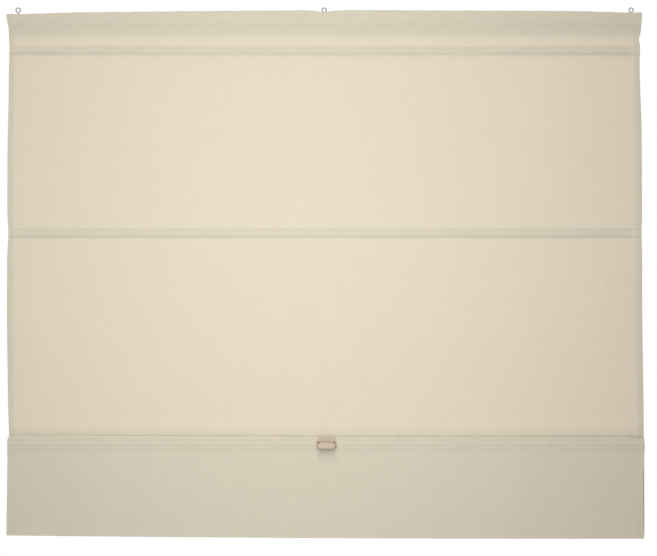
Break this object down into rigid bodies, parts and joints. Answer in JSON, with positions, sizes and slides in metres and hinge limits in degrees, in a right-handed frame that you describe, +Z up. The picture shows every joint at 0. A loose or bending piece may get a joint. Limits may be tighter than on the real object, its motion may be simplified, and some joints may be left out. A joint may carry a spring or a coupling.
{
  "type": "roman blind",
  "caption": "Cordless roman blind of woven cloth on a batten with wire screw eyes; flat rods, a bottom rail with a pull handle, and magnets that hold its raised pleats.",
  "frame": {"origin": "centre of the flat back of the header pocket, at mid-height of the batten inside it", "axes": "+X across the blind to the right as seen from the room, +Z up, +Y towards the wall; the room side is -Y"},
  "size_m": [1.4, 0.0353, 1.1677],
  "materials": {
    "cloth": "matte",
    "tape": "matte",
    "timber": "satin",
    "wire": "satin",
    "painted_steel": "satin",
    "bare_aluminium": "satin",
    "white_plastic": "matte",
    "clear_plastic": "gloss",
    "nickel": "polished",
    "zinc_steel": "satin"
  },
  "bodies": {
    "header_unit": {"header_batten": "timber", "cloth_header": "cloth", "screw_eye_left": "wire", "screw_eye_centre": "wire", "screw_eye_right": "wire", "cloth_panel_upper": "cloth", "rod_1": "painted_steel", "rod_pocket_1": "tape", "rod_1_cap_left": "white_plastic", "rod_1_cap_right": "white_plastic"},
    "rod_2_unit": {"rod_2": "painted_steel", "rod_pocket_2": "tape", "rod_2_cap_left": "white_plastic", "rod_2_cap_right": "white_plastic", "rod_2_magnet_left": "nickel", "rod_2_magnet_centre": "nickel", "rod_2_magnet_right": "nickel", "cloth_panel_lower": "cloth"},
    "rod_3_unit": {"rod_3": "painted_steel", "rod_pocket_3": "tape", "rod_3_cap_left": "white_plastic", "rod_3_cap_right": "white_plastic", "rod_3_magnet_left": "nickel", "rod_3_magnet_centre": "nickel", "rod_3_magnet_right": "nickel", "cloth_loop": "cloth"},
    "rail_unit": {"bottom_rail": "bare_aluminium", "rail_pocket": "tape", "rail_cap_left": "white_plastic", "rail_cap_right": "white_plastic", "handle": "clear_plastic", "handle_screws": "zinc_steel", "handle_nut_plate": "zinc_steel", "cloth_skirt": "cloth", "rail_magnet_left": "nickel", "rail_magnet_inner_left": "nickel", "rail_magnet_inner_right": "nickel", "rail_magnet_right": "nickel"}
  },
  "joints": [
    {"name": "upper_pleat", "type": "slide", "parent": "header_unit", "child": "rod_2_unit", "axis": [0, -0.0198, 0.9998], "range_m": [0, 0.40358], "deforming": ["cloth_panel_upper"]},
    {"name": "lower_pleat", "type": "slide", "parent": "rod_2_unit", "child": "rod_3_unit", "axis": [0, -0.0175, 0.9998], "range_m": [0, 0.45757], "deforming": ["cloth_panel_lower"]},
    {"name": "bottom_pleat", "type": "slide", "parent": "rod_3_unit", "child": "rail_unit", "axis": [0, -0.0267, 0.9996], "range_m": [-0.45016, 0], "deforming": ["cloth_loop"]}
  ]
}
